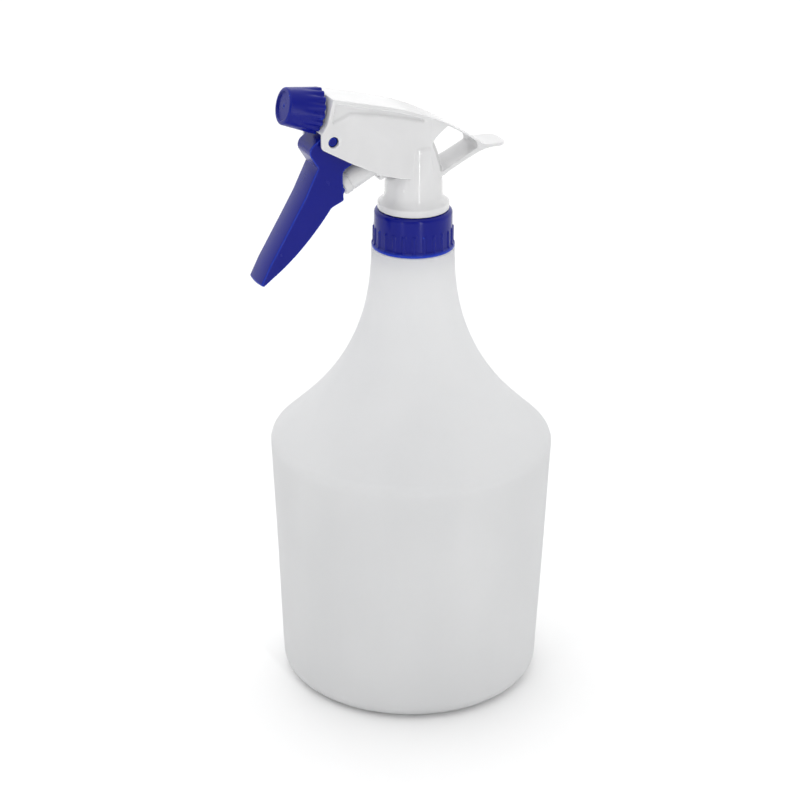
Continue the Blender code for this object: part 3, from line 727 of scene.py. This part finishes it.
column = [(0, 195.8), (column_radius, 195.8), (column_radius, 197.6), (flange_radius, 197.6)]
column += arc_corner((flange_radius, 197.6), (flange_radius, 200.2), (12.6, 200.9), 0.5, 4)
column += swept((12.6, 200.9), (11.5, 201.6), (column_radius, 203.0), (column_radius, 205.5), 10)
column += swept((column_radius, 208.0), (11.0, 212.0), (9.9, 216.0), (9.2, 219.0), 12)
column += swept((9.2, 219.0), (8.4, 222.0), (6.6, 225.4), (5.2, 227.6), 12)[1:]
column += [(5.0, 234.0), (0, 234.0)]


def shoulder_bulge(angle, radius, height):
    """The column keeps its full width across the head, where it swells out of each cheek."""
    side = max(0.0, abs(math.sin(angle)) ** 3 - max(0.0, math.cos(angle)))
    full = column_radius - 0.35 * ramp(height, 214.0, 226.0) - 6.0 * ramp(height, 222.5, 231.0)
    return max(0.0, full - radius) * ramp(side, 0.15, 0.8) * ramp(height, 205.0, 209.0)


column = filled_in(column, 1.0)
combine(body, turned("column", column, even_angles(120), shoulder_bulge), "UNION")

cavity = roof_line(-35.3, 1.2, 24, roof_wall)
cavity += [(1.5, 213.0), (-9.0, 212.4), (-12.6, 208.0), (-48.0, 208.0), (-48.0, 233.4), (-38.4, 233.4)]
combine(body, slab("cavity", cavity, -cavity_half, cavity_half), "DIFFERENCE")
bore = [(0, 190.0), (column_bore, 190.0), (column_bore, 204.5), (9.3, 211.0), (8.7, 215.0), (7.5, 219.5)]
bore += [(6.2, 223.0), (4.9, 225.4), (4.0, 227.4), (4.0, 232.2), (0, 232.2)]
combine(body, turned("bore", bore, even_angles(96)), "DIFFERENCE")
front_hole = [(0, -5.0), (5.7, -5.0), (5.7, 3.0), (0, 3.0)]
combine(body, turned("front_hole", front_hole, even_angles(64), place=nozzle_seat), "DIFFERENCE")
hole_rim = [(0, -cheek_half - 0.25), (2.7, -cheek_half - 0.25), (2.7, -8.6), (0, -8.6)]
for side in (0, math.pi):
    rim_seat = cross_seat(*pivot) @ Matrix.Rotation(side, 4, "X")
    combine(body, turned("rim", hole_rim, even_angles(64), place=rim_seat), "UNION")
pin_hole = [(0, -14.0), (pivot_hole, -14.0), (pivot_hole, 14.0), (0, 14.0)]
combine(body, turned("pin_hole", pin_hole, even_angles(64), place=cross_seat(*pivot)), "DIFFERENCE")
skinned(body, voxel=0.28, passes=5, kept_share=0.54)
stand_for(body, "sprayer_body", "head")
body.data.materials.clear()
head_white = moulded_plastic(
    "head_white", WHITE, WHITE_PAINTED_GLOW, (0.08, 0.16), seed=2.0, edge_glow_and_wear_share=0.6, scatter=0.2, shine=0.4
)
body.data.materials.append(head_white)


# ---------------------------------------------------------------- pump
# The pump insert is one white moulding: a slanted cylinder open to the front, a suction duct down
# the column and a discharge barrel up to the nozzle. A hollow plunger with two ring seals slides in
# it, and a stainless spring behind the plunger pushes it and the trigger forward again.

pump_axis = Vector(joints["piston_stroke"]["axis"])
pump_seat = seated((-19.6 * MM, 0, 216.6 * MM), pump_axis)
pump_outer = 7.7
pump_bore = 6.2
shell = rounded([(0, 1.47, 0), (pump_outer, 1.47, 0.3), (pump_outer, 15.2, 0.8), (0, 15.2, 0)], 5)
pump = turned("pump_insert", shell, even_angles(96), place=pump_seat)
duct = [(0, 197.2), (6.0, 197.2), (6.0, 202.6), (3.5, 204.6), (3.5, 229.0), (0, 229.0)]
combine(pump, turned("duct", duct, even_angles(64)), "UNION")
barrel = [(0, -41.3), (3.4, -41.3), (3.4, -12.0), (5.2, -10.6), (5.2, -1.6), (0, -1.6)]
combine(pump, turned("barrel", barrel, even_angles(64), place=nozzle_seat), "UNION")
for hollow, seat in (
    ([(0, -2.0), (pump_bore, -2.0), (pump_bore, 13.7), (0, 13.7)], pump_seat),
    ([(0, 12.0), (1.3, 12.0), (1.3, 22.6), (0, 22.6)], pump_seat),
    ([(0, 190.0), (4.7, 190.0), (4.7, 202.3), (1.8, 202.3), (1.8, 230.6), (0, 230.6)], Matrix()),
    ([(0, -40.9), (1.9, -40.9), (1.9, -10.0), (4.2, -10.0), (4.2, 2.0), (0, 2.0)], nozzle_seat),
):
    combine(pump, turned("hollow", hollow, even_angles(64), place=seat), "DIFFERENCE")
skinned(pump, voxel=0.28, passes=3)
stand_for(pump, "pump_cylinder", "head")
pump.data.materials.clear()
pump.data.materials.append(insert_white)

plunger_face = -12.4
plunger_radius = 4.9
plunger_outline = rounded(
    [
        (0, plunger_face, 0), (plunger_radius, plunger_face, 0.6), (plunger_radius, -9.5, 0.1),
        (4.6, -9.2, 0.1), (4.6, -8.8, 0.1), (4.8, -8.5, 0.1), (4.8, 1.2, 0.1), (5.85, 1.7, 0.1),
        (5.85, 2.3, 0.1), (4.5, 2.3, 0.1), (4.5, 3.5, 0.1), (5.85, 3.5, 0.1), (5.85, 4.1, 0.1),
        (4.5, 4.1, 0.1), (4.5, 5.3, 0.1), (5.85, 5.3, 0.1), (5.85, 5.9, 0.1), (3.6, 5.9, 0.1),
        (3.6, -9.6, 0.3), (0, -9.6, 0),
    ],
    4,
)
plunger = turned("plunger", plunger_outline, even_angles(96), place=pump_seat)
stand_for(plunger, "piston", "piston")
plunger_white = moulded_plastic("plunger_white", WHITE, WHITE_PAINTED_GLOW, (0.2, 0.32), seed=5.0, edge_glow_and_wear_share=0.5)
plunger.data.materials.append(plunger_white)


def elastomer(name, shade):
    """Seal rubber with a dull, slightly oily skin."""
    material, tree, shader, node = shader_nodes(name)
    place = node("ShaderNodeTexCoord").outputs["Object"]
    smear = node("ShaderNodeTexNoise", {"Vector": place, "Scale": 400.0, "Detail": 4.0})
    darker = tuple(channel * 0.8 for channel in shade[:3]) + (1,)
    tint = node("ShaderNodeMix", {0: smear.outputs[0], 6: darker, 7: shade}, data_type="RGBA")
    tree.links.new(tint.outputs[2], shader.inputs["Base Color"])
    gloss = node("ShaderNodeMapRange", {"Value": smear.outputs[0], "To Min": 0.4, "To Max": 0.7})
    tree.links.new(gloss.outputs[0], shader.inputs["Roughness"])
    bump = node("ShaderNodeBump", {"Height": smear.outputs[0], "Strength": 0.2, "Distance": 0.00004})
    tree.links.new(bump.outputs[0], shader.inputs["Normal"])
    return material


seal_rubber = elastomer("seal_rubber", (0.60, 0.60, 0.58, 1))
for node_name, start in (("vent_seal", 2.6), ("piston_seal", 4.4)):
    ring = [(4.8, start, 0.1), (5.95, start, 0.15), (5.95, start + 0.6, 0.15), (4.8, start + 0.6, 0.1)]
    seal = turned(node_name.replace("_seal", "_ring"), rounded(ring, 3), even_angles(96), place=pump_seat)
    stand_for(seal, node_name, "piston")
    seal.data.materials.append(seal_rubber)


def coil_spring(name, radius, wire, start, end, turns, place):
    """A compression spring wound about the local Z axis, its end turns closed."""
    per_turn = 36
    steps = round(turns * per_turn)
    curve = bpy.data.curves.new(name, "CURVE")
    curve.dimensions = "3D"
    curve.bevel_depth = wire / 2 * MM
    curve.bevel_resolution = 4
    curve.use_fill_caps = True
    spline = curve.splines.new("POLY")
    spline.points.add(steps)
    rise = (end - start - 2 * wire) / (turns - 2)
    for step in range(steps + 1):
        turn = step / per_turn
        height = start + wire * min(turn, 1) + rise * min(max(turn - 1, 0), turns - 2)
        height += wire * max(turn - turns + 1, 0)
        angle = math.tau * turn
        spot = Vector((radius * math.cos(angle), radius * math.sin(angle), height)) * MM
        spline.points[step].co = (*spot, 1)
    obj = bpy.data.objects.new(name, curve)
    bpy.context.scene.collection.objects.link(obj)
    obj.matrix_world = place
    bpy.context.view_layer.update()
    mesh = bpy.data.meshes.new_from_object(obj.evaluated_get(bpy.context.evaluated_depsgraph_get()))
    bpy.data.objects.remove(obj)
    mesh.transform(place)
    mesh.shade_smooth()
    spring = bpy.data.objects.new(name, mesh)
    bpy.context.scene.collection.objects.link(spring)
    return spring


wire_steel = stainless("wire_steel", 1500.0)
return_spring = coil_spring(
    "plunger_spring", radius=2.9, wire=0.8, start=-9.0, end=13.2, turns=8, place=pump_seat
)
return_spring.data.materials.append(wire_steel)
stand_for(return_spring, "return_spring", "head")
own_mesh(return_spring)


# ---------------------------------------------------------------- nozzle
# A white spigot plugs into the discharge barrel. In its bore a small spring holds the outlet valve
# shut, and a swirl plug sits in front. The blue cap screws on the spigot against a ring seal: turning
# it moves it along the axis, from off to spray to stream. Flutes deepen towards its back rim.

spigot_outline = rounded(
    [
        (1.0, -9.0, 0.1), (3.5, -9.0, 0.2), (3.9, -8.4, 0.2), (3.9, -0.9, 0.1), (6.6, -0.9, 0.15),
        (6.6, -0.35, 0.15), (5.0, -0.35, 0.1), (5.0, 7.5, 0.2), (3.2, 7.5, 0.2), (3.2, 4.2, 0.1),
        (2.4, 4.2, 0.1), (2.4, -7.2, 0.1), (1.0, -7.2, 0.1),
    ],
    3,
)
spigot = turned("nozzle_spigot", spigot_outline, even_angles(96), place=nozzle_seat)
stand_for(spigot, "nozzle_base", "head")
spigot.data.materials.append(insert_white)
cap_ring = turned(
    "cap_ring",
    rounded([(3.7, 7.8, 0.1), (4.9, 7.8, 0.1), (4.9, 8.3, 0.1), (3.7, 8.3, 0.1)], 3),
    even_angles(72),
    place=nozzle_seat,
)
stand_for(cap_ring, "nozzle_seal", "cap_washer")
cap_ring.data.materials.append(seal_rubber)


def swirl_slots(angle, radius, height):
    off = abs(math.remainder(angle, math.tau / 3)) * radius
    return -0.7 * (1 - ramp(off, 0.38, 0.5)) * ramp(radius, 2.0, 2.25)


swirl_outline = filled_in(
    rounded([(0, 4.5, 0), (2.9, 4.5, 0.15), (2.9, 11.2, 0.3), (2.3, 11.8, 0.2), (0, 11.8, 0)], 3), 0.4
)
swirl = turned("swirl_plug", swirl_outline, even_angles(108), swirl_slots, place=nozzle_seat)
stand_for(swirl, "spinner", "head")
swirl.data.materials.append(insert_white)
valve_outline = rounded(
    [(0, -6.9, 0), (1.9, -6.9, 0.15), (1.9, -5.9, 0.1), (0.8, -5.6, 0.2), (0.8, -3.4, 0.3), (0, -3.2, 0)],
    3,
)
valve = turned("outlet_poppet", valve_outline, even_angles(48), place=nozzle_seat)
stand_for(valve, "outlet_valve", "outlet_valve")
valve.data.materials.append(insert_white)
valve_spring = coil_spring(
    "poppet_spring", radius=1.6, wire=0.4, start=-5.3, end=3.9, turns=5, place=nozzle_seat
)
valve_spring.data.materials.append(wire_steel)
stand_for(valve_spring, "outlet_spring", "head")
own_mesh(valve_spring)

flute_count = 16


def cap_surface(angle, radius, height):
    """Round-backed lobes with narrow valleys, fading out two thirds of the way to the front."""
    if radius < 6.5:
        return 0.0
    valley = (0.5 - 0.5 * math.cos(flute_count * angle)) ** 1.5
    depth = 0.95 * (1 - ramp(height, -3.0, 9.6))
    return -depth * valley


cap_outline = rounded(
    [
        (0, 13.15, 0), (5.3, 13.15, 0.25), (5.6, 13.8, 0.25), (6.95, 13.75, 0.85), (8.85, 0.0, 0.35),
        (5.4, 0.0, 0.2), (5.4, 8.6, 0.2), (3.5, 8.6, 0.2), (3.5, 12.2, 0.2), (0, 12.2, 0),
    ],
    6,
)
cap_outline = [point for point in cap_outline if point[0] > 0]
cap_outline = filled_in([(0.4, 12.2), (0.4, 13.0), (0.52, 13.15)] + cap_outline, 0.4)
cap = turned("fluted_cap", cap_outline, even_angles(flute_count * 18), cap_surface, place=nozzle_seat)
stand_for(cap, "nozzle_cap", "nozzle_cap")
cap_blue = moulded_plastic("cap_blue", BLUE, BLUE_PAINTED_GLOW, (0.22, 0.34), seed=7.0, edge_glow_and_wear_share=0.9)
cap.data.materials.append(cap_blue)


# ---------------------------------------------------------------- trigger
# The trigger is a blue lever of U section: a crowned finger face in front, two side walls, a cross
# rib that pushes the plunger, and two trunnions moulded on it that snap into the cheeks' holes.

trigger_half = 6.4
trigger_wall = 1.2
trunnion_radius = 1.7
face = [(-41.6, 220.0), (-46.9, 209.0), (-52.4, 199.4), (-61.4, 184.0)]
tip = [(-61.4, 184.0, 0), (-64.9, 176.9, 0.35), (-63.9, 176.3, 0.35), (-59.9, 179.4, 0)]
lever_outline = face + rounded(tip, 4)[1:-1]
lever_outline += swept((-59.9, 179.4), (-52.0, 185.0), (-43.6, 193.6), (-36.6, 203.6), 16)
lever_outline += rounded(
    [
        (-43.6, 194.9, 0), (-36.2, 204.0, 0.8), (-31.4, 206.2, 0.8), (-31.9, 217.9, 3.0), (-27.6, 220.1, 0.3),
        (-28.6, 224.5, 0.5), (-33.6, 230.4, 1.0), (-34.4, 232.8, 1.0), (-36.9, 233.9, 1.0), (-40.0, 231.4, 0),
    ],
    6,
)[1:-1]
lever_outline += arc_corner((-40.0, 231.4), (-45.9, 227.6), (-42.6, 220.4), 3.6, 14)
lever = slab("finger_lever", lever_outline, -trigger_half, trigger_half)
web = 1.4
channel = [(-40.6, 221.4)] + [(x + web, z) for x, z in face[1:]] + [(-61.6, 176.0), (-30.0, 176.0)]
channel += [(-24.0, 200.0), (-24.0, 226.0), (-30.4, 221.4)]
channel_half = trigger_half - trigger_wall
combine(lever, slab("channel", channel, -channel_half, channel_half), "DIFFERENCE")
rib_spot = pump_seat @ Vector((0, 0, (plunger_face - 1.7) * MM))
rib_half = trigger_half - 0.5
rib = [(0, -rib_half), (1.4, -rib_half), (1.4, rib_half), (0, rib_half)]
rib_seat = cross_seat(rib_spot.x / MM, rib_spot.z / MM)
combine(lever, turned("rib", rib, even_angles(40), place=rib_seat), "UNION")
boss = trigger_half + 1.6
trunnion_end = cheek_half - 0.9
trunnion = [(0, -trunnion_end), (trunnion_radius, -trunnion_end), (trunnion_radius, -boss), (3.0, -boss)]
trunnion += [(r, -y) for r, y in reversed(trunnion)]
combine(lever, turned("trunnion", trunnion, even_angles(48), place=cross_seat(*pivot)), "UNION")
skinned(lever, voxel=0.24, passes=3)

# The finger face is crowned: its skin stands proud along the middle and fades out towards the sides.
points = np.empty(len(lever.data.vertices) * 3, np.float32)
normals = np.empty(len(lever.data.vertices) * 3, np.float32)
lever.data.vertices.foreach_get("co", points)
lever.data.vertices.foreach_get("normal", normals)
points = points.reshape(-1, 3)
normals = normals.reshape(-1, 3)
across = np.clip(np.abs(points[:, 1]) / (trigger_half * MM), 0, 1)
faces_front = np.clip((-normals[:, 0] - 0.55) / 0.3, 0, 1)
below_neck = np.clip((221.5 * MM - points[:, 2]) / (4 * MM), 0, 1)
outer_skin = points[:, 0] < -37.0 * MM
crown_height = 0.6
crown = crown_height * MM * (1 - across**2) * faces_front * below_neck * outer_skin
points += normals * crown[:, None]
lever.data.vertices.foreach_set("co", points.ravel())
lever.data.update()
stand_for(lever, "trigger", "trigger")
lever.data.materials.clear()
trigger_blue = moulded_plastic(
    "trigger_blue", BLUE, BLUE_PAINTED_GLOW, (0.18, 0.28), seed=9.0, edge_glow_and_wear_share=0.55, sharp=0.507
)
lever.data.materials.append(trigger_blue)


# ---------------------------------------------------------------- studio
# A white table under a bright sky that is stronger behind the bottle, with two upright strip lights
# that draw the long highlights down the column and closure, and two broad soft lights from above,
# one over the bottle and one over the table behind it.

table = bpy.data.meshes.new("table")
far = 40.0
table.from_pydata([(-far, -far, 0), (far, -far, 0), (far, far, 0), (-far, far, 0)], [], [(0, 1, 2, 3)])
table_top = bpy.data.objects.new("table", table)
table_top.location.z = -0.0002
bpy.context.scene.collection.objects.link(table_top)
material, tree, shader, node = shader_nodes("table_white")
mottle = node("ShaderNodeTexNoise", {"Scale": 3.0, "Detail": 3.0})
paper = node(
    "ShaderNodeMix",
    {0: mottle.outputs[0], 6: (0.97, 0.97, 0.97, 1), 7: (0.985, 0.985, 0.985, 1)},
    data_type="RGBA",
)
tree.links.new(paper.outputs[2], shader.inputs["Base Color"])
shader.inputs["Roughness"].default_value = 0.9
shader.inputs["Specular IOR Level"].default_value = 0.1
table.materials.append(material)

eye = Vector((-0.349, -0.773, 0.491))
sight = Vector((0.372, 0.836, -0.404))

world = bpy.data.worlds.new("studio_sky")
world.use_nodes = True
sky = world.node_tree
direction = sky.nodes.new("ShaderNodeTexCoord").outputs["Generated"]
behind = sky.nodes.new("ShaderNodeVectorMath")
behind.operation = "DOT_PRODUCT"
behind.inputs[1].default_value = Vector((sight.x, sight.y, 0)).normalized()
sky.links.new(direction, behind.inputs[0])
strength = sky.nodes.new("ShaderNodeMapRange")
strength.inputs["From Min"].default_value = -0.8
strength.inputs["From Max"].default_value = 0.5
strength.inputs["To Min"].default_value = 0.34
strength.inputs["To Max"].default_value = 1.3
sky.links.new(behind.outputs["Value"], strength.inputs["Value"])
sky.links.new(strength.outputs[0], sky.nodes["Background"].inputs["Strength"])
sky.nodes["Background"].inputs["Color"].default_value = (1.0, 1.0, 1.0, 1)
bpy.context.scene.world = world


def soft_light(name, place, aim, width, height, power):
    """A rectangular soft light that faces a point and isn't itself seen by the camera."""
    lamp = bpy.data.lights.new(name, "AREA")
    lamp.shape = "RECTANGLE"
    lamp.size = width
    lamp.size_y = height
    lamp.energy = power
    obj = bpy.data.objects.new(name, lamp)
    obj.location = place
    obj.rotation_mode = "QUATERNION"
    obj.rotation_quaternion = (Vector(aim) - Vector(place)).to_track_quat("-Z", "Y")
    obj.visible_camera = False
    bpy.context.scene.collection.objects.link(obj)


soft_light("overhead", (-0.35, -0.2, 1.1), (0, 0, 0.15), 1.0, 1.0, 2.5)
soft_light("behind", (0.45, 1.15, 1.2), (0.45, 1.15, 0), 1.2, 0.8, 2.5)
soft_light("right_strip", (-0.02, -0.62, 0.25), (0, 0, 0.25), 0.022, 0.7, 0.9)
soft_light("left_strip", (-0.52, -0.36, 0.25), (0, 0, 0.25), 0.02, 0.6, 0.3)

camera_data = bpy.data.cameras.new("camera")
camera_data.lens = 104.94
camera_data.sensor_width = 36.0
camera_data.clip_start = 0.05
camera_data.clip_end = 50.0
camera = bpy.data.objects.new("camera", camera_data)
camera.location = eye
camera.rotation_mode = "QUATERNION"
camera.rotation_quaternion = sight.to_track_quat("-Z", "Y") @ Quaternion((0, 0, 1), math.radians(0.4))
bpy.context.scene.collection.objects.link(camera)
bpy.context.scene.camera = camera
bpy.context.scene.view_settings.view_transform = "Standard"
